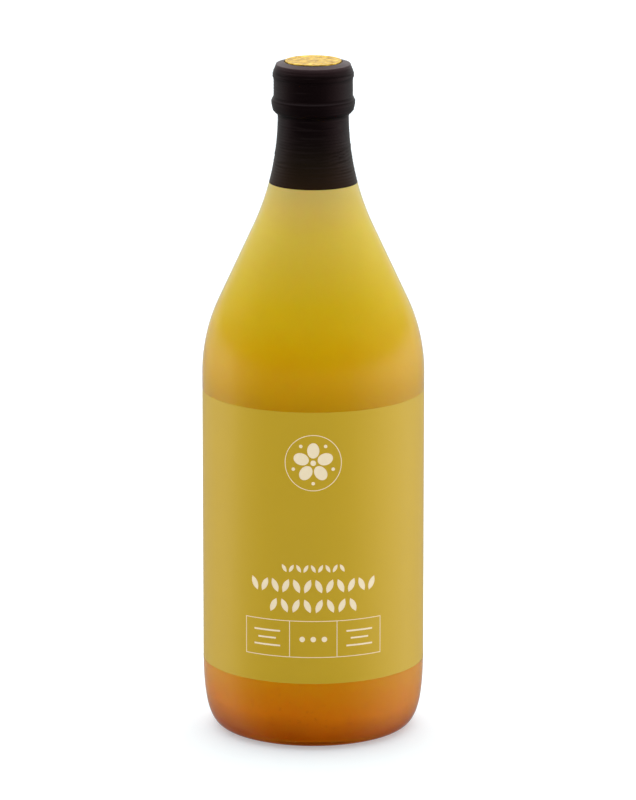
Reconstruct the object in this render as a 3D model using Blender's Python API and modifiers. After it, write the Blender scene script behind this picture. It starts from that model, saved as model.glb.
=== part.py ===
"""Vinegar bottle, one litre, full and shut.

A turned glass bottle holds cloudy golden vinegar up to a level in its neck. A label wraps
the straight part of the body. A gold screw cap closes the mouth, and a black shrink sleeve
covers the cap's side and the neck but leaves the middle of the cap's top bare.

Metres, +Z up. The origin is the middle of the base, and the front faces -Y. A profile is
a list of (radius, height) points.
"""

import math

import bmesh
import bpy

# Outside of the glass, from the base up; the neck's sizes are taken over the sleeve
FOOT_RADIUS = 0.0327
BEARING_WIDTH = 0.0045
PUSH_UP = 0.0032
BODY_RADIUS = 0.0443
HEEL_HEIGHT = 0.0365
HEEL_POWER = 3.18
SHOULDER_START = 0.1450
SHOULDER_CURVE = 0.0707
SHOULDER_SLOPE = math.radians(24.9)
NECK_CURVE = 0.1068
NECK_RADIUS = 0.0141
FINISH_START = 0.2505
FINISH_RADIUS = 0.0138
LIP_HEIGHT = 0.2680
LIP_ROUNDING = 0.0008

# Inside of the glass
WALL = 0.0026
BASE_THICKNESS = 0.0034
INNER_FOOT_RADIUS = 0.0304
INNER_HEEL_POWER = 2.75
BORE_START = 0.2550
BORE_RADIUS = 0.0107

# Vinegar and label
FILL_HEIGHT = 0.2390
LABEL_BOTTOM = 0.0283
LABEL_TOP = 0.1389
LABEL_THICKNESS = 0.0002

# Cap, from its bare raised top and sloping rim down, and then its inside
CAP_TOP = 0.2711
CAP_TOP_RADIUS = 0.0112
CAP_RIM_HEIGHT = 0.2702
CAP_RIM_EDGE = (0.0142, 0.2693)
CAP_SHOULDER = (0.01445, 0.2690)
CAP_BEAD = (0.0156, 0.2652)
CAP_SIDE_RADIUS = 0.0152
CAP_SIDE_TOP = 0.2635
CAP_SIDE_BOTTOM = 0.2573
BAND_CREST = (0.0161, 0.2549)
BAND_FOOT = (0.0156, 0.2519)
CAP_HEM = (0.0151, 0.2512)
CAP_BORE_RADIUS = 0.0143
CAP_CEILING = (0.0132, 0.2684)
CAP_CEILING_CHAMFER = 0.0010

# Sleeve
FILM_THICKNESS = 0.0002
SLEEVE_OPENING_RADIUS = 0.0115
SLEEVE_WAIST_HEIGHT = 0.2490
SLEEVE_HEM_HEIGHT = 0.2224

# Fits and facets; all turned pieces have the same facets, so their gaps hold all round
GAP = 0.0003
STEPS = 40
MERGE_DISTANCE = 0.00005
SHARP_ANGLE = math.radians(38)

# Worked out: what the sleeve and the label take up, and where the neck's curve ends
SLEEVE_SPACE = FILM_THICKNESS + GAP
PANEL_RADIUS = BODY_RADIUS - LABEL_THICKNESS - GAP
SHOULDER_DROP = 1 - math.cos(SHOULDER_SLOPE)
CONE_WIDTH = BODY_RADIUS - NECK_RADIUS - (SHOULDER_CURVE + NECK_CURVE) * SHOULDER_DROP
NECK_START = (
    SHOULDER_START
    + (SHOULDER_CURVE + NECK_CURVE) * math.sin(SHOULDER_SLOPE)
    + CONE_WIDTH / math.tan(SHOULDER_SLOPE)
)


def arc(centre, reach, start, end, count):
    """Points on a circle round a centre, from one angle to another."""
    points = []
    for step in range(count + 1):
        angle = start + (end - start) * step / count
        points.append((centre[0] + reach * math.cos(angle), centre[1] + reach * math.sin(angle)))
    return points


def quarter(flat, upright, power, count):
    """A quarter of a superellipse, level at its first point and upright at its last."""
    points = []
    for step in range(count + 1):
        angle = math.pi / 2 * step / count
        out = math.sin(angle) ** (2 / power)
        along = 1 - math.cos(angle) ** (2 / power)
        points.append((
            flat[0] + (upright[0] - flat[0]) * out,
            flat[1] + (upright[1] - flat[1]) * along,
        ))
    return points


def upright_both(share):
    """A blend that leaves its first point and meets its last one upright."""
    return (1 - math.cos(math.pi * share)) / 2


def upright_first(share):
    """A blend that leaves its first point upright."""
    return 1 - math.cos(math.pi / 2 * share)


def upright_last(share):
    """A blend that meets its last point upright."""
    return math.sin(math.pi / 2 * share)


def blend(start, end, count, rule=upright_both):
    """Points from start, which is left out, to end, with the radius blended by a rule."""
    points = []
    for step in range(1, count + 1):
        share = step / count
        points.append((
            start[0] + (end[0] - start[0]) * rule(share),
            start[1] + (end[1] - start[1]) * share,
        ))
    return points


def dome(top, edge, count):
    """A low dome from its top on the axis out to its edge, the edge itself left out."""
    points = []
    for step in range(count):
        share = step / count
        height = edge[1] + (top - edge[1]) * (1 - upright_both(share))
        points.append((edge[0] * share, height))
    return points


def shoulder(inset):
    """The round of the shoulder, a distance inside the glass's outer face."""
    centre = (BODY_RADIUS - SHOULDER_CURVE, SHOULDER_START)
    return arc(centre, SHOULDER_CURVE - inset, 0, SHOULDER_SLOPE, 5)


def neck(low, high, inset, count):
    """The hollow curve up to the neck between two heights; None is the curve's own end."""
    reach = NECK_CURVE + inset
    centre = (NECK_RADIUS + NECK_CURVE, NECK_START)
    start = SHOULDER_SLOPE if low is None else math.asin((NECK_START - low) / reach)
    end = 0 if high is None else math.asin((NECK_START - high) / reach)
    return arc(centre, reach, math.pi + start, math.pi + end, count)


def glass_outside():
    """From the middle of the underside out, up the body and over the neck to the lip."""
    bearing = (FOOT_RADIUS - BEARING_WIDTH, 0)
    panel_bottom = LABEL_BOTTOM - GAP
    panel_top = LABEL_TOP + GAP
    heel = quarter((FOOT_RADIUS, 0), (BODY_RADIUS, HEEL_HEIGHT), HEEL_POWER, 9)
    points = dome(PUSH_UP, bearing, 3)
    points.append(bearing)
    points += [point for point in heel if point[1] < panel_bottom]
    points += [(BODY_RADIUS, panel_bottom), (PANEL_RADIUS, panel_bottom)]
    points += [(PANEL_RADIUS, panel_top), (BODY_RADIUS, panel_top)]
    points += shoulder(0)
    points += neck(None, SLEEVE_HEM_HEIGHT - GAP, 0, 2)
    points += neck(SLEEVE_HEM_HEIGHT - GAP, None, SLEEVE_SPACE, 4)
    points.append((FINISH_RADIUS, FINISH_START))
    lip_edge = (FINISH_RADIUS - LIP_ROUNDING, LIP_HEIGHT - LIP_ROUNDING)
    return points + arc(lip_edge, LIP_ROUNDING, 0, math.pi / 2, 2)


def glass_inside(inset, fill_height=None):
    """From the middle of the floor out and up to the mouth, or to a fill height in the neck."""
    wall = WALL + inset
    floor_edge = (INNER_FOOT_RADIUS, BASE_THICKNESS + inset)
    points = dome(BASE_THICKNESS + PUSH_UP + inset, floor_edge, 2)
    points += quarter(floor_edge, (BODY_RADIUS - wall, HEEL_HEIGHT), INNER_HEEL_POWER, 5)
    points += shoulder(wall)
    points += neck(None, fill_height, wall, 4)
    return points


def cap_outside(offset, rim_start):
    """From a radius on the cap's sloping rim down to the foot of its band."""
    def place(point):
        return (point[0] + offset, point[1])

    points = [(rim_start, CAP_RIM_HEIGHT + offset)]
    points.append((CAP_RIM_EDGE[0] + offset, CAP_RIM_EDGE[1] + offset))
    points.append(place(CAP_SHOULDER))
    points += blend(points[-1], place(CAP_BEAD), 3, upright_last)
    points += blend(points[-1], place((CAP_SIDE_RADIUS, CAP_SIDE_TOP)), 2)
    points.append(place((CAP_SIDE_RADIUS, CAP_SIDE_BOTTOM)))
    points += blend(points[-1], place(BAND_CREST), 2)
    points += blend(points[-1], place(BAND_FOOT), 2, upright_first)
    return points


def glass_profile():
    """The whole of the glass: up its inside, over the lip and down its outside."""
    bore_foot = (BORE_RADIUS, BORE_START)
    mouth = (BORE_RADIUS, LIP_HEIGHT)
    inside = glass_inside(0) + [bore_foot, mouth]
    return inside + glass_outside()[::-1]


def vinegar_profile():
    """The vinegar from its level down its side to the middle of its underside."""
    side = glass_inside(GAP, FILL_HEIGHT)
    return [(0, FILL_HEIGHT)] + side[::-1]


def cap_profile():
    """The cap from the middle of its top down its outside and up its bore."""
    points = [(0, CAP_TOP), (CAP_TOP_RADIUS, CAP_TOP)] + cap_outside(0, CAP_TOP_RADIUS)
    points += [CAP_HEM, (CAP_BORE_RADIUS, CAP_HEM[1])]
    bore_top = CAP_CEILING[1] - CAP_CEILING_CHAMFER
    return points + [(CAP_BORE_RADIUS, bore_top), CAP_CEILING, (0, CAP_CEILING[1])]


def sleeve_profile():
    """The sleeve's outer face from the edge of its opening down to its hem."""
    points = cap_outside(SLEEVE_SPACE, SLEEVE_OPENING_RADIUS)
    points += blend(points[-1], (NECK_RADIUS, SLEEVE_WAIST_HEIGHT), 3)
    below = neck(SLEEVE_HEM_HEIGHT, None, 0, 4)[:-1]
    return points + below[::-1]


def finish(name, colour, roughness, metallic=0.0, transmission=0.0):
    """A material with one Principled shader."""
    material = bpy.data.materials.new(name)
    material.use_nodes = True
    material.diffuse_color = (*colour, 1.0)
    shader = material.node_tree.nodes["Principled BSDF"]
    shader.inputs["Base Color"].default_value = (*colour, 1.0)
    shader.inputs["Roughness"].default_value = roughness
    shader.inputs["Metallic"].default_value = metallic
    shader.inputs["Transmission Weight"].default_value = transmission
    return material


def turned(name, profile, material, turn=2 * math.pi, steps=STEPS, start=0.0):
    """An object whose profile is turned about the Z axis, from a starting angle."""
    shape = bmesh.new()
    vertices = [shape.verts.new((radius, 0, height)) for radius, height in profile]
    for upper, lower in zip(vertices, vertices[1:]):
        shape.edges.new((upper, lower))
    mesh = bpy.data.meshes.new(name)
    shape.to_mesh(mesh)
    shape.free()
    mesh.materials.append(material)
    piece = bpy.data.objects.new(name, mesh)
    piece.rotation_euler.z = start
    parts.objects.link(piece)
    screw = piece.modifiers.new("Turn", "SCREW")
    screw.angle = turn
    screw.steps = steps
    screw.render_steps = steps
    screw.use_merge_vertices = True
    screw.merge_threshold = MERGE_DISTANCE
    return piece


def thicken(piece, thickness):
    """Give an open surface its thickness, behind its outer face."""
    solidify = piece.modifiers.new("Thickness", "SOLIDIFY")
    solidify.thickness = thickness
    solidify.offset = -1
    solidify.use_even_offset = True


def settle(piece):
    """Make the modifiers' result the piece's own mesh, smooth but for its sharp edges."""
    evaluated = piece.evaluated_get(bpy.context.evaluated_depsgraph_get())
    mesh = bpy.data.meshes.new_from_object(evaluated)
    profile = piece.data
    piece.modifiers.clear()
    piece.data = mesh
    bpy.data.meshes.remove(profile)
    mesh.name = piece.name
    mesh.shade_smooth()
    mesh.set_sharp_from_angle(angle=SHARP_ANGLE)


def build_bottle():
    """The glass bottle, with a shallow panel for the label and a narrower sleeved neck."""
    glass = finish("glass", (0.86, 0.88, 0.84), roughness=0.12, transmission=1.0)
    settle(turned("bottle", glass_profile(), glass))


def build_vinegar():
    """The cloudy vinegar, a hair's breadth clear of the glass."""
    vinegar = finish("vinegar", (0.58, 0.32, 0.02), roughness=0.3)
    settle(turned("vinegar", vinegar_profile(), vinegar))


def build_label():
    """The wrap label, open for one facet at the back."""
    paper = finish("label_paper", (0.58, 0.42, 0.06), roughness=0.55)
    facet = 2 * math.pi / STEPS
    edge = [(BODY_RADIUS, LABEL_TOP), (BODY_RADIUS, LABEL_BOTTOM)]
    label = turned("label", edge, paper, 2 * math.pi - facet, STEPS - 1, math.pi / 2 + facet)
    thicken(label, LABEL_THICKNESS)
    settle(label)


def build_cap():
    """The gold screw cap, a cup with a bead under its rim and a wider band at its foot."""
    gold = finish("gold", (0.75, 0.55, 0.22), roughness=0.35, metallic=1.0)
    settle(turned("cap", cap_profile(), gold))


def build_sleeve():
    """The shrink sleeve, drawn tight over the cap and the neck."""
    film = finish("black_film", (0.012, 0.010, 0.011), roughness=0.4)
    sleeve = turned("sleeve", sleeve_profile(), film)
    thicken(sleeve, FILM_THICKNESS)
    settle(sleeve)


for scene_object in list(bpy.data.objects):
    bpy.data.objects.remove(scene_object)

parts = bpy.data.collections.new("vinegar_bottle")
bpy.context.scene.collection.children.link(parts)

build_bottle()
build_vinegar()
build_label()
build_cap()
build_sleeve()
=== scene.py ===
"""A full one-litre vinegar bottle on a white studio floor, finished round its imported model.

Metres, +Z up, front towards -Y. A profile is a list of (radius, height) points.
"""

import math
import random

import bmesh
import bpy
from mathutils import Matrix, Vector, noise


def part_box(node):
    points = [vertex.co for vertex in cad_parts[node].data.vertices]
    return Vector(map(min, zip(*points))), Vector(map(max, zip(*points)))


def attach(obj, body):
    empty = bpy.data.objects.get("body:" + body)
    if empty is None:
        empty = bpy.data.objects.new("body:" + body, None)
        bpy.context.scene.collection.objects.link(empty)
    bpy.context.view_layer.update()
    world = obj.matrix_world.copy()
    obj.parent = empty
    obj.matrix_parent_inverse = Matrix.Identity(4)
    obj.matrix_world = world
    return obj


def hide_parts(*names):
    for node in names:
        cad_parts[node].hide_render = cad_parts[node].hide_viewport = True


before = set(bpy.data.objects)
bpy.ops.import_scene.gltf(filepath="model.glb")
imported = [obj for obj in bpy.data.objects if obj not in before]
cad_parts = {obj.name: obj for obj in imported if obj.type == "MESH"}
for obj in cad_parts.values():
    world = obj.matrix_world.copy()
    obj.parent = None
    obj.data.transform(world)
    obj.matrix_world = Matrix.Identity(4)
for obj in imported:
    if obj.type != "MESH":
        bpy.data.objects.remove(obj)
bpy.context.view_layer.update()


# The glass bottle
# Clear flint glass, blown into a mould: a round heel, a straight body, a long sloping
# shoulder and a slim neck. It is turned here from one profile, inside and outside.
BODY_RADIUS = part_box("bottle")[1].x
LIP_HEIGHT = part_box("bottle")[1].z
FOOT_RADIUS = 0.0327
BEARING_WIDTH = 0.0045
PUSH_UP = 0.0032
HEEL_HEIGHT = 0.0365
HEEL_POWER = 3.18
SHOULDER_START = 0.1450
SHOULDER_CURVE = 0.0707
SHOULDER_SLOPE = math.radians(24.9)
NECK_CURVE = 0.1068
NECK_RADIUS = 0.0141
WALL = 0.0026
BASE_THICKNESS = 0.0034
INNER_FOOT_RADIUS = 0.0304
INNER_HEEL_POWER = 2.75
LABEL_SEAT_DEPTH = 0.00012
SLEEVE_SEAT_DEPTH = 0.00012
MOUTH_RADIUS = 0.0107
LABEL_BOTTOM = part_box("label")[0].z
LABEL_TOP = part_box("label")[1].z
HEM_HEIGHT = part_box("sleeve")[0].z
TURNED_STEPS = 160
# Near the floor the clear glass is tinted brown: a painted reflection of the vinegar seen through its
# base.
GLASS_WITH_PAINTED_REFLECTION_BY_HEIGHT = [
    (0.0000, (0.980, 0.600, 0.100)), (0.0040, (0.990, 0.800, 0.420)),
    (0.0080, (0.995, 0.995, 0.985)),
]
SHARP_ANGLE = math.radians(40)

CONE_WIDTH = (
    BODY_RADIUS - NECK_RADIUS
    - (SHOULDER_CURVE + NECK_CURVE) * (1 - math.cos(SHOULDER_SLOPE))
)
NECK_START = (
    SHOULDER_START
    + (SHOULDER_CURVE + NECK_CURVE) * math.sin(SHOULDER_SLOPE)
    + CONE_WIDTH / math.tan(SHOULDER_SLOPE)
)


def arc(centre, reach, start, end, count):
    """Points on a circle round a centre, from one angle to another."""
    angles = [start + (end - start) * step / count for step in range(count + 1)]
    return [(centre[0] + reach * math.cos(a), centre[1] + reach * math.sin(a)) for a in angles]


def quarter(flat, upright, power, count):
    """A quarter of a superellipse, level at its first point and upright at its last."""
    points = []
    for step in range(count + 1):
        angle = math.pi / 2 * step / count
        out = math.sin(angle) ** (2 / power)
        along = 1 - math.cos(angle) ** (2 / power)
        points.append((
            flat[0] + (upright[0] - flat[0]) * out,
            flat[1] + (upright[1] - flat[1]) * along,
        ))
    return points


def shoulder(inset):
    """The round of the shoulder, a distance inside the glass's outer face."""
    centre = (BODY_RADIUS - SHOULDER_CURVE, SHOULDER_START)
    return arc(centre, SHOULDER_CURVE - inset, 0, SHOULDER_SLOPE, 18)


def neck(low, high, inset, count):
    """The hollow curve up to the neck between two heights; None is the curve's own end."""
    reach = NECK_CURVE + inset
    centre = (NECK_RADIUS + NECK_CURVE, NECK_START)
    start = SHOULDER_SLOPE if low is None else math.asin((NECK_START - low) / reach)
    end = 0 if high is None else math.asin((NECK_START - high) / reach)
    return arc(centre, reach, math.pi + start, math.pi + end, count)


def dome(top, edge, count):
    """A low dome from its top on the axis out to its edge, the edge itself left out."""
    shares = [step / count for step in range(count)]
    rise = top - edge[1]
    return [(edge[0] * s, edge[1] + rise * (1 + math.cos(math.pi * s)) / 2) for s in shares]


def inner_wall(inset, top_height=None):
    """The inside of the glass from its floor up to the neck, a distance further in."""
    floor_edge = (INNER_FOOT_RADIUS, BASE_THICKNESS + inset)
    points = dome(BASE_THICKNESS + PUSH_UP + inset, floor_edge, 12)
    points += quarter(floor_edge, (BODY_RADIUS - WALL - inset, HEEL_HEIGHT), INNER_HEEL_POWER, 16)
    points += shoulder(WALL + inset)
    return points + neck(None, top_height, WALL + inset, 16)


def outer_wall():
    """The outside of the glass from under the push-up to the lip, with its two seats."""
    bearing = (FOOT_RADIUS - BEARING_WIDTH, 0)
    heel = quarter((FOOT_RADIUS, 0), (BODY_RADIUS, HEEL_HEIGHT), HEEL_POWER, 40)
    seat_radius = BODY_RADIUS - LABEL_SEAT_DEPTH
    points = dome(PUSH_UP, bearing, 12) + [bearing]
    points += [point for point in heel if point[1] < LABEL_BOTTOM]
    points += [(BODY_RADIUS, LABEL_BOTTOM), (seat_radius, LABEL_BOTTOM)]
    points += [(seat_radius, LABEL_TOP), (BODY_RADIUS, LABEL_TOP)]
    points += shoulder(0) + neck(None, HEM_HEIGHT, 0, 10)
    points += neck(HEM_HEIGHT, None, SLEEVE_SEAT_DEPTH, 12)
    return points + [(NECK_RADIUS - SLEEVE_SEAT_DEPTH, LIP_HEIGHT)]


def turn(profile, steps=TURNED_STEPS):
    """A bmesh of a profile spun round the Z axis, its poles welded and its faces outward."""
    shape = bmesh.new()
    points = [shape.verts.new((radius, 0, height)) for radius, height in profile]
    edges = [shape.edges.new(pair) for pair in zip(points, points[1:])]
    bmesh.ops.spin(
        shape, geom=points + edges, cent=(0, 0, 0), axis=(0, 0, 1),
        angle=2 * math.pi, steps=steps, use_merge=True, use_duplicate=False,
    )
    bmesh.ops.remove_doubles(shape, verts=shape.verts, dist=1e-6)
    bmesh.ops.recalc_face_normals(shape, faces=shape.faces)
    return shape


def make_piece(name, shape, material, slot, *nodes):
    """Turn a bmesh into a shown piece that rides with the bottle and stands for its nodes."""
    mesh = bpy.data.meshes.new(name)
    shape.to_mesh(mesh)
    shape.free()
    mesh.shade_smooth()
    mesh.set_sharp_from_angle(angle=SHARP_ANGLE)
    mesh.materials.append(material)
    piece = bpy.data.objects.new(name, mesh)
    bpy.context.scene.collection.objects.link(piece)
    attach(piece, "root")
    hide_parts(*nodes)
    return piece


class Wire:
    """An output of a shader node. Sums on wires add Math nodes, and node() any other node."""

    def __init__(self, tree, socket=None):
        self.tree = tree
        self.socket = socket

    def node(self, kind, settings=None, sockets=None, output=0):
        """Add a node: its settings first, then the values or wires of its sockets."""
        new = self.tree.nodes.new(kind)
        for name, value in (settings or {}).items():
            if name == "stops":
                ramp = new.color_ramp
                while len(ramp.elements) < len(value):
                    ramp.elements.new(1.0)
                for element, (place, colour) in zip(ramp.elements, value):
                    element.position = place
                    element.color = (*colour, 1.0)
            else:
                setattr(new, name, value)
        for name, value in (sockets or {}).items():
            if isinstance(value, Wire):
                self.tree.links.new(value.socket, new.inputs[name])
            else:
                new.inputs[name].default_value = value
        return Wire(self.tree, new.outputs[output] if new.outputs else None)

    def math(self, operation, other, first=None):
        """A Math node on this wire and another value, or on a first value and this wire."""
        pair = (self, other) if first is None else (first, self)
        return self.node("ShaderNodeMath", {"operation": operation}, dict(enumerate(pair)))

    def __add__(self, other):
        return self.math("ADD", other)

    def __sub__(self, other):
        return self.math("SUBTRACT", other)

    def __rsub__(self, other):
        return self.math("SUBTRACT", None, first=other)

    def __mul__(self, other):
        return self.math("MULTIPLY", other)

    def __truediv__(self, other):
        return self.math("DIVIDE", other)

    __radd__ = __add__
    __rmul__ = __mul__


def new_material(name):
    """A material, and a wire that holds its Object coordinates."""
    material = bpy.data.materials.new(name)
    material.use_nodes = True
    tree = material.node_tree
    tree.nodes.clear()
    place = Wire(tree).node("ShaderNodeTexCoord", output="Object")
    return material, place


def coat(place, **sockets):
    """Finish a material with one Principled shader, its sockets named with underscores."""
    named = {name.replace("_", " "): value for name, value in sockets.items()}
    shader = place.node("ShaderNodeBsdfPrincipled", None, named)
    place.node("ShaderNodeOutputMaterial", None, {"Surface": shader})


def grain(place, scale, detail=2.0):
    """The value of a noise over Object coordinates."""
    sockets = {"Vector": place, "Scale": scale, "Detail": detail}
    return place.node("ShaderNodeTexNoise", None, sockets, "Fac")


def relief(place, height, strength, distance):
    """A Bump node's normal from a height."""
    sockets = {"Height": height, "Strength": strength, "Distance": distance}
    return place.node("ShaderNodeBump", None, sockets, "Normal")


def ramp_by_height(height, stops):
    """A colour that changes with the height, between stops of (height, colour)."""
    low = stops[0][0]
    reach = stops[-1][0] - low
    shares = [((z - low) / reach, colour) for z, colour in stops]
    share = (height - low) / reach
    return height.node("ShaderNodeValToRGB", {"stops": shares}, {"Fac": share}, "Color")


def clear_glass():
    """Flint glass with a mould's faint unevenness; its base is tinted brown, a painted reflection of
    the vinegar seen through it.
    """
    material, place = new_material("clear_glass")
    height = place.node("ShaderNodeSeparateXYZ", None, {"Vector": place}, "Z")
    unevenness = grain(place, 60.0)
    coat(
        place,
        Base_Color=ramp_by_height(height, GLASS_WITH_PAINTED_REFLECTION_BY_HEIGHT),
        Roughness=unevenness * 0.04 + 0.05,
        IOR=1.36,
        Specular_Tint=(1.0, 0.84, 0.50, 1.0),
        Transmission_Weight=1.0,
        Normal=relief(place, unevenness, 0.06, 0.001),
    )
    return material


glass_profile = inner_wall(0) + [(MOUTH_RADIUS, LIP_HEIGHT)] + outer_wall()[::-1]
make_piece("glass_bottle", turn(glass_profile), clear_glass(), "glass", "bottle")


# The vinegar
# Cloudy, unfiltered vinegar, golden and pale where the neck is thin, amber in the body and
# orange brown over the sediment in the heel. Its colour by height also holds painted light and
# shade: the neck's paleness is partly painted light, and painted shade darkens it towards the
# foot, in a band just above the label and at the top under the sleeve's hem. It reaches just
# into the glass wall.
FILL_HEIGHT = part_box("vinegar")[1].z
REACH_INTO_WALL = 0.0004
# Painted shade: darker towards the foot, in a band at 0.140 just above the label, and at the top under
# the sleeve's hem.
VINEGAR_AND_PAINTED_SHADE_BY_HEIGHT = [
    (0.003, (0.480, 0.115, 0.003)),
    (0.009, (0.700, 0.190, 0.003)),
    (0.014, (0.905, 0.285, 0.003)),
    (0.026, (0.999, 0.390, 0.003)),
    (0.140, (0.810, 0.465, 0.003)),
    (0.163, (0.985, 0.605, 0.004)),
    (0.178, (0.998, 0.690, 0.020)),
    (0.205, (0.998, 0.740, 0.120)),
    (0.222, (0.840, 0.690, 0.230)),
]
SEDIMENT_HEIGHT = 0.030


def mix_colour(factor, first, second):
    """Two colours mixed by a factor; each is a wire or a plain colour."""
    sockets = {0: factor, 6: first, 7: second}
    return factor.node("ShaderNodeMix", {"data_type": "RGBA"}, sockets, 2)


def cloudy_vinegar():
    """The colour, with its painted light and shade, changes with the height, under soft clouds and a
    fine sediment.
    """
    material, place = new_material("cloudy_vinegar")
    height = place.node("ShaderNodeSeparateXYZ", None, {"Vector": place}, "Z")
    drift = (grain(place, 22.0, 3.0) - 0.5) * 0.010
    # The colour by height carries painted shade near the floor, above the label and under the hem.
    body = ramp_by_height(height + drift, VINEGAR_AND_PAINTED_SHADE_BY_HEIGHT)
    specks = grain(place, 520.0, 1.0).math("GREATER_THAN", 0.66)
    low_down = (1 - height / SEDIMENT_HEIGHT).math("MAXIMUM", 0)
    sediment = specks * low_down * 0.5
    coat(
        place,
        Base_Color=mix_colour(sediment, body, (0.60, 0.16, 0.004, 1.0)),
        Roughness=0.5,
        Specular_IOR_Level=0.0,
        Subsurface_Weight=1.0,
        Subsurface_Radius=(1.0, 0.85, 0.5),
        Subsurface_Scale=0.024,
    )
    return material


vinegar_profile = inner_wall(-REACH_INTO_WALL, FILL_HEIGHT) + [(0, FILL_HEIGHT)]
make_piece("vinegar_fill", turn(vinegar_profile), cloudy_vinegar(), "vinegar", "vinegar")


# The label
# One wrap of satin coated paper in mustard yellow, glued round the straight body with its
# ends a few millimetres apart at the back.
PAPER_INSIDE = BODY_RADIUS - 0.00010
PAPER_OUTSIDE = BODY_RADIUS - 0.00004
LABEL_GAP_STEPS = 3
LABEL_STEPS = TURNED_STEPS - LABEL_GAP_STEPS
LABEL_GAP = 2 * math.pi * LABEL_GAP_STEPS / TURNED_STEPS


def label_paper():
    """Coated paper: a fine even tooth under a satin face."""
    material, place = new_material("label_paper")
    tooth = grain(place, 900.0, 3.0)
    mottle = grain(place, 45.0, 2.0)
    face = mix_colour(mottle, (0.615, 0.382, 0.001, 1.0), (0.634, 0.395, 0.001, 1.0))
    coat(
        place,
        Base_Color=face,
        Roughness=tooth * 0.08 + 0.26,
        Specular_IOR_Level=0.40,
        Normal=relief(place, tooth, 0.05, 0.0002),
    )
    return material


def wrap_label():
    """A strip spun round the body and given its thickness, open at the back."""
    shape = bmesh.new()
    start = Matrix.Rotation(LABEL_GAP / 2, 3, "Z") @ Vector((0, PAPER_OUTSIDE, 0))
    ends = [shape.verts.new((start.x, start.y, z)) for z in (LABEL_TOP, LABEL_BOTTOM)]
    edge = shape.edges.new(ends)
    bmesh.ops.spin(
        shape, geom=ends + [edge], cent=(0, 0, 0), axis=(0, 0, 1),
        angle=2 * math.pi - LABEL_GAP, steps=LABEL_STEPS, use_duplicate=False,
    )
    thickness = PAPER_OUTSIDE - PAPER_INSIDE
    bmesh.ops.solidify(shape, geom=shape.faces, thickness=thickness)
    bmesh.ops.recalc_face_normals(shape, faces=shape.faces)
    return shape


label = make_piece("label_wrap", wrap_label(), label_paper(), "label_paper", "label")
# Light that comes through the glass passes it, so no dark line shows at its edges.
label.visible_transmission = False


# The print on the label
# Cream ink, screened in one pass: a blossom in a ring, rows of leaves and a ruled frame.
# Each shape is laid out flat, sliced into narrow strips and bent round the bottle.
INK_OUTSIDE = BODY_RADIUS - 0.00001
INK_THICKNESS = 0.00003
STRIP_WIDTH = 0.0006
RULE = 0.00014
RING_AT = (0.0, 0.1185)
RING_RADIUS = 0.0112
PETALS = 5
PETAL_SIZE = (0.0024, 0.0031)
PETAL_REACH = 0.0050
SEED_RADIUS = 0.0011
BUD_REACH = 0.0083
BUD_RADIUS = 0.0007
LEAF_ROWS = (
    {"height": 0.0755, "count": 9, "pitch": 0.0029, "size": (0.0007, 0.0018), "lean": 30},
    {"height": 0.0683, "count": 12, "pitch": 0.0044, "size": (0.0012, 0.0030), "lean": 24},
    {"height": 0.0602, "count": 8, "pitch": 0.0046, "size": (0.0012, 0.0030), "lean": -24},
)
FRAME_AT = (0.0, 0.0466)
FRAME_SIZE = (0.0284, 0.0074)
FRAME_BAR_LENGTHS = {-1: 0.0056, 0: 0.0038, 1: 0.0056}
FRAME_BAR_HALF = 0.00034
FRAME_BAR_PITCH = 0.0030
FRAME_SPOT_RADIUS = 0.0011
FRAME_SPOT_PITCH = 0.0044
ROUND_SIDES = 28
RING_SIDES = 72


def lay(shape, points, size=(1, 1), lean=0.0, at=(0, 0)):
    """Size, lean and place a flat shape, which stands up to face the front."""
    matrix = (
        Matrix.Translation((at[0], 0, at[1]))
        @ Matrix.Rotation(lean, 4, "Y")
        @ Matrix.Diagonal((size[0], 1, size[1], 1))
        @ Matrix.Rotation(math.pi / 2, 4, "X")
    )
    bmesh.ops.transform(shape, matrix=matrix, verts=points)


def spot(shape, size, at, lean=0.0):
    """A filled oval; size is its half width and half height."""
    made = bmesh.ops.create_circle(shape, cap_ends=True, radius=1.0, segments=ROUND_SIDES)
    lay(shape, made["verts"], size, lean, at)


def bar(shape, size, at):
    """A filled bar; size is its half width and half height."""
    made = bmesh.ops.create_grid(shape, x_segments=1, y_segments=1, size=1.0)
    lay(shape, made["verts"], size, 0.0, at)


def leaf(shape, size, at, lean=0.0):
    """A leaf: an oval whose sides are drawn in towards two pointed ends."""
    made = bmesh.ops.create_circle(shape, cap_ends=True, radius=1.0, segments=ROUND_SIDES)
    for point in made["verts"]:
        point.co.x *= 1 - 0.8 * abs(point.co.y) ** 3
    lay(shape, made["verts"], size, lean, at)


def ring(shape, radius, at):
    """A thin ring between two circles."""
    points = []
    for reach in (radius - RULE, radius + RULE):
        made = bmesh.ops.create_circle(shape, cap_ends=False, radius=reach, segments=RING_SIDES)
        points += made["verts"]
    edges = list({edge for point in points for edge in point.link_edges})
    bmesh.ops.bridge_loops(shape, edges=edges)
    lay(shape, points, at=at)


def box_rule(shape, at, size):
    """Four thin bars round a box."""
    for side in (-1, 1):
        bar(shape, (size[0] + RULE, RULE), (at[0], at[1] + side * size[1]))
        bar(shape, (RULE, size[1] - RULE), (at[0] + side * size[0], at[1]))


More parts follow.
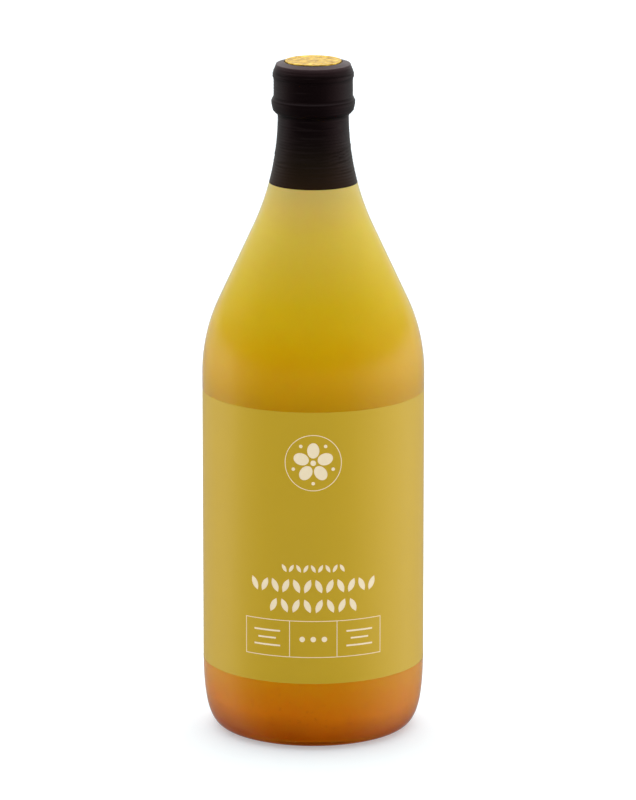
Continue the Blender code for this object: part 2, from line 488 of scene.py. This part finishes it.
def draw_blossom(shape):
    """Five petals round a seed, with a bud between each two, inside a ring."""
    ring(shape, RING_RADIUS, RING_AT)
    spot(shape, (SEED_RADIUS, SEED_RADIUS), RING_AT)
    for petal in range(PETALS):
        angle = 2 * math.pi * petal / PETALS
        way = Vector((math.sin(angle), math.cos(angle)))
        spot(shape, PETAL_SIZE, Vector(RING_AT) + way * PETAL_REACH, angle)
        angle += math.pi / PETALS
        way = Vector((math.sin(angle), math.cos(angle)))
        spot(shape, (BUD_RADIUS, BUD_RADIUS), Vector(RING_AT) + way * BUD_REACH)


def draw_leaf_row(shape, height, count, pitch, size, lean):
    """A row of leaves that lean to one side and the other in turn."""
    for place in range(count):
        x = (place - (count - 1) / 2) * pitch
        tilt = math.radians(lean if place % 2 else -lean)
        leaf(shape, size, (x, height), tilt)


def draw_frame(shape):
    """A ruled frame of three fields, with short bars or spots in each."""
    box_rule(shape, FRAME_AT, FRAME_SIZE)
    third = FRAME_SIZE[0] / 3
    for side in (-1, 1):
        bar(shape, (RULE, FRAME_SIZE[1] - RULE), (FRAME_AT[0] + side * third, FRAME_AT[1]))
        for row, length in FRAME_BAR_LENGTHS.items():
            at = (FRAME_AT[0] + side * 2 * third, FRAME_AT[1] + row * FRAME_BAR_PITCH)
            bar(shape, (length, FRAME_BAR_HALF), at)
    for place in (-1, 0, 1):
        at = (FRAME_AT[0] + place * FRAME_SPOT_PITCH, FRAME_AT[1])
        spot(shape, (FRAME_SPOT_RADIUS, FRAME_SPOT_RADIUS), at)


def label_ink():
    """Matt cream ink, a little uneven over the paper's tooth, brightened by a faint warm painted glow.
    """
    material, place = new_material("label_ink")
    cover = grain(place, 500.0, 2.0)
    face = mix_colour(cover, (0.92, 0.77, 0.52, 1.0), (0.98, 0.83, 0.60, 1.0))
    coat(
        place,
        Base_Color=face,
        Roughness=0.55,
        # A faint warm painted glow brightens the ink.
        Emission_Color=(1.0, 0.62, 0.20, 1.0),
        Emission_Strength=0.08,
        Normal=relief(place, cover, 0.08, 0.0002),
    )
    return material


def bend_round(shape):
    """Slice flat work into narrow strips, bend it round the bottle and thicken it."""
    reach = max(abs(point.co.x) for point in shape.verts)
    cuts = int(reach / STRIP_WIDTH)
    for cut in range(-cuts, cuts + 1):
        everything = shape.verts[:] + shape.edges[:] + shape.faces[:]
        bmesh.ops.bisect_plane(
            shape, geom=everything, dist=1e-7,
            plane_co=(cut * STRIP_WIDTH, 0, 0), plane_no=(1, 0, 0),
        )
    for point in shape.verts:
        angle = point.co.x / INK_OUTSIDE
        point.co.x = INK_OUTSIDE * math.sin(angle)
        point.co.y = -INK_OUTSIDE * math.cos(angle)
    bmesh.ops.recalc_face_normals(shape, faces=shape.faces)
    bmesh.ops.solidify(shape, geom=shape.faces, thickness=INK_THICKNESS)
    return shape


print_work = bmesh.new()
draw_blossom(print_work)
for row in LEAF_ROWS:
    draw_leaf_row(print_work, **row)
draw_frame(print_work)
make_piece("label_print", bend_round(print_work), label_ink(), "label_paper")


# The cap
# A gold lacquered metal cap. Its raised top shows in the sleeve's opening: a beaded rim round
# a hammered middle. Its side is hidden under the sleeve.
TOP_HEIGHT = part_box("cap")[1].z
TOP_RADIUS = 0.0112
TOP_ROUNDING = 0.00018
BEAD_RING = (0.0104, 0.0110)
BEAD_COUNT = 72
BEAD_DEPTH = 0.00009
BEAD_STEPS = 6
MIDDLE_RADIUS = 0.0102
MIDDLE_DROP = 0.00012
MIDDLE_STEP = (0.00010, 0.00002)
MIDDLE_RINGS = 56
HAMMER_DEPTH = 0.00024
HAMMER_FADE = 0.0008
HAMMER_COARSE = 420
HAMMER_FINE = 1300
CAP_RIM = (0.0113, 0.27035)
CAP_RIM_STEP = 0.0001
CAP_EDGE = (0.0144, 0.2694)
CAP_EDGE_DROP = 0.003
CAP_SIDE_RADIUS = 0.0152
CAP_FOOT = 0.2514
CAP_BORE_RADIUS = 0.0143
CAP_CEILING = (0.0132, 0.2684)
CAP_CEILING_DROP = 0.001
CAP_STEPS = 480


def cap_outline():
    """The cap from the middle of its top down its side and up its bore."""
    middle = TOP_HEIGHT - MIDDLE_DROP
    points = [(MIDDLE_RADIUS * step / MIDDLE_RINGS, middle) for step in range(MIDDLE_RINGS + 1)]
    points.append((MIDDLE_RADIUS + MIDDLE_STEP[0], TOP_HEIGHT - MIDDLE_STEP[1]))
    bead_step = (BEAD_RING[1] - BEAD_RING[0]) / BEAD_STEPS
    points += [(BEAD_RING[0] + bead_step * step, TOP_HEIGHT) for step in range(BEAD_STEPS + 1)]
    centre = (TOP_RADIUS - TOP_ROUNDING, TOP_HEIGHT - TOP_ROUNDING)
    points += arc(centre, TOP_ROUNDING, math.pi / 2, 0, 4)
    points += [(TOP_RADIUS, CAP_RIM[1] + CAP_RIM_STEP), CAP_RIM, CAP_EDGE]
    points += [(CAP_SIDE_RADIUS, CAP_EDGE[1] - CAP_EDGE_DROP), (CAP_SIDE_RADIUS, CAP_FOOT)]
    points.append((CAP_BORE_RADIUS, CAP_FOOT))
    points.append((CAP_BORE_RADIUS, CAP_CEILING[1] - CAP_CEILING_DROP))
    return points + [CAP_CEILING, (0, CAP_CEILING[1])]


def strike(shape):
    """Press the beads into the rim of the top and the small dents into its middle."""
    for point in shape.verts:
        reach = math.hypot(point.co.x, point.co.y)
        if point.co.z < TOP_HEIGHT - MIDDLE_DROP - 1e-5:
            continue
        if BEAD_RING[0] - 1e-5 < reach < BEAD_RING[1] + 1e-5:
            share = (reach - BEAD_RING[0]) / (BEAD_RING[1] - BEAD_RING[0])
            turn_angle = math.atan2(point.co.y, point.co.x)
            notch = (1 - math.cos(BEAD_COUNT * turn_angle)) / 2
            point.co.z -= BEAD_DEPTH * notch * math.sin(math.pi * min(1.0, max(0.0, share)))
        elif reach <= MIDDLE_RADIUS:
            fade = min(1.0, (MIDDLE_RADIUS - reach) / HAMMER_FADE)
            coarse = noise.noise(point.co * HAMMER_COARSE)
            fine = noise.noise(point.co * HAMMER_FINE)
            point.co.z += HAMMER_DEPTH * fade * (coarse + 0.35 * fine - 0.6)
    return shape


def gold_lacquer():
    """Warm gold lacquer on metal, mottled light and dark at random: partly its tone, partly painted
    glints of light on the hammered dents.
    """
    material, place = new_material("gold_lacquer")
    wear = grain(place, 1400.0, 3.0)
    # Light and dark gold at random: partly the lacquer's tone, partly painted glints on the hammered
    # dents.
    tone_and_painted_glint = grain(place, 380.0, 2.0) * 2.4 - 0.7
    face = mix_colour(tone_and_painted_glint, (0.29, 0.145, 0.010, 1.0), (0.78, 0.545, 0.092, 1.0))
    coat(
        place,
        Base_Color=face,
        Metallic=1.0,
        Specular_Tint=(0.90, 0.88, 0.80, 1.0),
        Roughness=wear * 0.2 + 0.24,
        Normal=relief(place, wear, 0.25, 0.0002),
    )
    return material


cap_shape = strike(turn(cap_outline(), CAP_STEPS))
make_piece("cap_gold", cap_shape, gold_lacquer(), "gold", "cap")


# The sleeve
# Black plastic film, shrunk with hot air over the cap and the neck. It draws tight over the
# bead and the band of the cap, and gathers in fine rings and slanting creases on the neck.
FILM = 0.00007
SLEEVE_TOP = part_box("sleeve")[1].z
OPENING_RADIUS = 0.01153
OPENING_LIP = (0.00008, 0.00002)
OPENING_EDGE = 0.00010
SLEEVE_RIM_EDGE = (0.0146, 0.2698)
SLEEVE_SHOULDER = (0.01493, 0.2690)
SLEEVE_BEAD = (0.0161, 0.2652)
SLEEVE_SIDE_RADIUS = 0.0157
SLEEVE_SIDE_TOP = 0.2635
SLEEVE_SIDE_BOTTOM = 0.2574
SLEEVE_CREST = (0.0166, 0.2549)
SLEEVE_BAND_FOOT = (0.0161, 0.2519)
SLEEVE_WAIST = 0.2490
SLEEVE_STEPS = 240
FILM_BLACK = (0.0036, 0.0018, 0.0020)
# Painted light on the black film: a pale painted highlight on the sloping top, where it faces the
# light overhead.
FILM_PAINTED_TOP_LIGHT = (0.050, 0.031, 0.033)
# Near the hem the vinegar's yellow is painted through the film as a faint glow.
FILM_PAINTED_VINEGAR_GLOW = (0.0200, 0.0110, 0.0050)
FILM_AND_PAINTED_LIGHT_BY_HEIGHT = [
    (0.2230, FILM_PAINTED_VINEGAR_GLOW), (0.2320, (0.0105, 0.0070, 0.0036)),
    (0.2390, (0.0055, 0.0036, 0.0028)), (0.2450, FILM_BLACK), (0.2556, FILM_BLACK),
    # The paler stop at 0.2560 is a painted highlight along the crest of the band.
    (0.2560, (0.0220, 0.0165, 0.0175)), (0.2564, FILM_BLACK), (0.2668, FILM_BLACK),
    (0.2688, (0.0200, 0.0110, 0.0120)), (0.2697, FILM_PAINTED_TOP_LIGHT), (0.2710, FILM_PAINTED_TOP_LIGHT),
]
CREASE_SEED = 7
CREASE_COUNT = 46
CREASE_HEIGHTS = (0.2265, 0.2480)
SLANTED_CREASES = (0.2318, 0.2334, 0.2347, 0.2361)
SWELL_ON_NECK = 0.000045
SWELL_ON_BEAD = 0.00009
SWELL_PACE = 5200


def upright_both(share):
    """A blend that leaves its first point and meets its last one upright."""
    return (1 - math.cos(math.pi * share)) / 2


def upright_first(share):
    """A blend that leaves its first point upright."""
    return 1 - math.cos(math.pi / 2 * share)


def upright_last(share):
    """A blend that meets its last point upright."""
    return math.sin(math.pi / 2 * share)


def straight(share):
    """A blend along a straight line."""
    return share


def blend(start, end, count, rule=upright_both):
    """Points from start, which is left out, to end, with the radius blended by a rule."""
    points = []
    for step in range(1, count + 1):
        share = step / count
        points.append((
            start[0] + (end[0] - start[0]) * rule(share),
            start[1] + (end[1] - start[1]) * share,
        ))
    return points


def sleeve_outline():
    """The outer face of the film from its opening down to its hem."""
    side_top = (SLEEVE_SIDE_RADIUS, SLEEVE_SIDE_TOP)
    side_bottom = (SLEEVE_SIDE_RADIUS, SLEEVE_SIDE_BOTTOM)
    lip = (OPENING_RADIUS + OPENING_LIP[0], SLEEVE_TOP - OPENING_LIP[1])
    points = [(OPENING_RADIUS, SLEEVE_TOP - OPENING_EDGE), lip]
    points += blend(lip, SLEEVE_RIM_EDGE, 6, straight)[:-1]
    points += quarter(SLEEVE_RIM_EDGE, SLEEVE_SHOULDER, 2, 6)
    points += blend(points[-1], SLEEVE_BEAD, 16, upright_last)
    points += blend(points[-1], side_top, 8)
    points += blend(points[-1], side_bottom, 20)
    points += blend(points[-1], SLEEVE_CREST, 10)
    points += blend(points[-1], SLEEVE_BAND_FOOT, 10, upright_first)
    points += blend(points[-1], (NECK_RADIUS, SLEEVE_WAIST), 12)
    below = neck(HEM_HEIGHT, None, 0, 90)[:-1]
    return points + below[::-1]


def scatter_creases():
    """Where the film gathers: angle, height, half length, slant, depth and width of each."""
    draw = random.Random(CREASE_SEED)
    creases = []
    for _ in range(CREASE_COUNT):
        creases.append((
            draw.uniform(-math.pi, math.pi), draw.uniform(*CREASE_HEIGHTS),
            draw.uniform(0.3, 0.8), draw.uniform(-0.0012, 0.0012),
            draw.uniform(0.00005, 0.00014), draw.uniform(0.00022, 0.00045),
        ))
    for height in SLANTED_CREASES:
        creases.append((0.75, height, 0.75, 0.0016, 0.00022, 0.00030))
    return creases


CREASES = scatter_creases()


def gather(shape):
    """Raise rings and creases on the film, below the slope round its opening."""
    for point in shape.verts:
        radius = math.hypot(point.co.x, point.co.y)
        angle = math.atan2(point.co.x, -point.co.y)
        height = point.co.z
        if height > SLEEVE_SHOULDER[1] or radius < OPENING_RADIUS + 0.001:
            continue
        ring_depth = SWELL_ON_BEAD if height > SLEEVE_SIDE_TOP else SWELL_ON_NECK
        unevenness = 0.6 + noise.noise(point.co * 160)
        swell = ring_depth * math.sin(height * SWELL_PACE) * unevenness
        for where, level, length, slant, depth, width in CREASES:
            away = (angle - where + math.pi) % (2 * math.pi) - math.pi
            if abs(away) > length:
                continue
            off = (height - level - slant * away) / width
            if abs(off) < 3:
                fade = math.cos(math.pi / 2 * away / length) ** 2
                swell += depth * fade * math.exp(-off * off)
        point.co.x *= 1 + swell / radius
        point.co.y *= 1 + swell / radius
    return shape


def black_film():
    """Satin black film with painted light: a painted highlight on the sloping top round the
    opening and along the band's crest, the vinegar's yellow painted through as a faint glow near
    the hem, and painted glints in fine lines that run round the neck."""
    material, place = new_material("black_film")
    height = place.node("ShaderNodeSeparateXYZ", None, {"Vector": place}, "Z")
    body = ramp_by_height(height, FILM_AND_PAINTED_LIGHT_BY_HEIGHT)
    scuff = grain(place, 700.0, 3.0)
    round_about = {0: place, 1: (45.0, 45.0, 1500.0)}
    glint_stretch = place.node("ShaderNodeVectorMath", {"operation": "MULTIPLY"}, round_about)
    # Fine paler streaks round the neck are painted glints, where the creases would catch the light.
    glint_patches = (grain(place, 75.0, 1.0) * 4.0 - 1.5).math("MAXIMUM", 0.0)
    painted_glint_streaks = (grain(glint_stretch, 1.0, 2.0) * 5.0 - 2.7).math("MAXIMUM", 0.0) * glint_patches
    coat(
        place,
        Base_Color=mix_colour(painted_glint_streaks * 0.55, body, (0.0200, 0.0140, 0.0135, 1.0)),
        Roughness=scuff * 0.12 + 0.30,
        Specular_IOR_Level=0.09,
        Specular_Tint=(1.0, 0.58, 0.62, 1.0),
        Normal=relief(place, scuff, 0.10, 0.0002),
    )
    return material


sleeve = gather(turn(sleeve_outline(), SLEEVE_STEPS))
bmesh.ops.solidify(sleeve, geom=sleeve.faces, thickness=FILM)
bmesh.ops.recalc_face_normals(sleeve, faces=sleeve.faces)
sleeve_film = make_piece("sleeve_film", sleeve, black_film(), "black_film", "sleeve")
# As with the label, light that comes through the glass passes it.
sleeve_film.visible_transmission = False


# The studio
# A wide white floor that runs past the frame, inside a white tent: bright at both sides, dim
# towards the front, and bright overhead and a little behind.
FLOOR_REACH = 14.0
TENT_BY_AZIMUTH = [
    (-180, 0.75), (-150, 0.80), (-125, 1.30), (-97, 2.60), (-72, 1.25), (-50, 0.46), (-30, 0.42),
    (15, 0.45), (35, 0.80), (55, 1.95), (80, 3.30), (105, 2.80), (130, 1.30), (150, 0.80), (180, 0.75),
]
TENT_BY_RISE = [
    (0.03, 0.03), (0.20, 0.35), (0.34, 0.60), (0.44, 1.0), (0.49, 1.0), (0.56, 0.32), (0.85, 0.20),
]
TENT_PEAK = 3.30
ROOF_AXIS = Vector((0, math.cos(math.radians(66)), math.sin(math.radians(66))))
ROOF_RADIANCE = 2.5
ROOF_BY_SHARE = [(0.31, 0.0), (0.56, 0.5), (0.82, 1.0)]
BACKDROP = 0.95


def light_table():
    """A white acrylic table top, faintly lit from below."""
    material, place = new_material("light_table")
    coat(
        place,
        Base_Color=(0.67, 0.70, 0.71, 1.0),
        Roughness=grain(place, 3.0) * 0.1 + 0.75,
        Emission_Color=(0.86, 1.0, 1.08, 1.0),
        Emission_Strength=0.36,
    )
    return material


def grey_ramp(share, stops):
    """A smooth ramp of greys over a share from 0 to 1."""
    greys = [(place, (value, value, value)) for place, value in stops]
    return share.node("ShaderNodeValToRGB", {"stops": greys}, {"Fac": share}, "Color")


def light_tent(tree):
    """The tent's radiance by direction; its walls fade below the table's level and upwards.

    A camera ray meets a plain pale backdrop instead.
    """
    tree.nodes.clear()
    way = Wire(tree).node("ShaderNodeTexCoord", output="Generated")
    split = way.node("ShaderNodeSeparateXYZ", None, {"Vector": way}, "X")
    side = split.socket.node.outputs
    x, y, z = (Wire(tree, side[axis]) for axis in "XYZ")
    azimuth = x.math("ARCTAN2", 0 - y)
    stops = [((degrees + 180) / 360, value / TENT_PEAK) for degrees, value in TENT_BY_AZIMUTH]
    walls = grey_ramp(azimuth / (2 * math.pi) + 0.5, stops) * TENT_PEAK
    walls = walls * grey_ramp(z * 0.5 + 0.5, TENT_BY_RISE)
    toward = y * ROOF_AXIS.y + z * ROOF_AXIS.z
    roof = grey_ramp(toward, ROOF_BY_SHARE)
    radiance = walls * (1 - roof) + roof * ROOF_RADIANCE
    seen = way.node("ShaderNodeLightPath", output="Is Camera Ray")
    strength = radiance * (1 - seen) + seen * BACKDROP
    light = way.node("ShaderNodeBackground", None, {"Strength": strength})
    way.node("ShaderNodeOutputWorld", None, {"Surface": light})


floor_mesh = bmesh.new()
bmesh.ops.create_grid(floor_mesh, x_segments=1, y_segments=1, size=FLOOR_REACH)
floor_data = bpy.data.meshes.new("floor")
floor_mesh.to_mesh(floor_data)
floor_mesh.free()
floor_data.materials.append(light_table())
floor = bpy.data.objects.new("floor", floor_data)
floor.visible_glossy = False
bpy.context.scene.collection.objects.link(floor)

world = bpy.data.worlds.new("light_tent")
world.use_nodes = True
light_tent(world.node_tree)
bpy.context.scene.world = world
bpy.context.scene.view_settings.view_transform = "Standard"


# The camera
# A long lens a little above the bottle, as in the photograph.
CAMERA_DISTANCE = 2.4596
CAMERA_ELEVATION = math.radians(13.51)
CAMERA_AIM = Vector((0.00187, 0, 0.1334))
CAMERA_LENS = 277.3

camera_data = bpy.data.cameras.new("camera")
camera_data.lens = CAMERA_LENS
camera_data.clip_end = 30.0
camera = bpy.data.objects.new("camera", camera_data)
back = Vector((0, -math.cos(CAMERA_ELEVATION), math.sin(CAMERA_ELEVATION)))
camera.location = CAMERA_AIM + back * CAMERA_DISTANCE
camera.rotation_euler = back.to_track_quat("Z", "Y").to_euler()
bpy.context.scene.collection.objects.link(camera)
bpy.context.scene.camera = camera
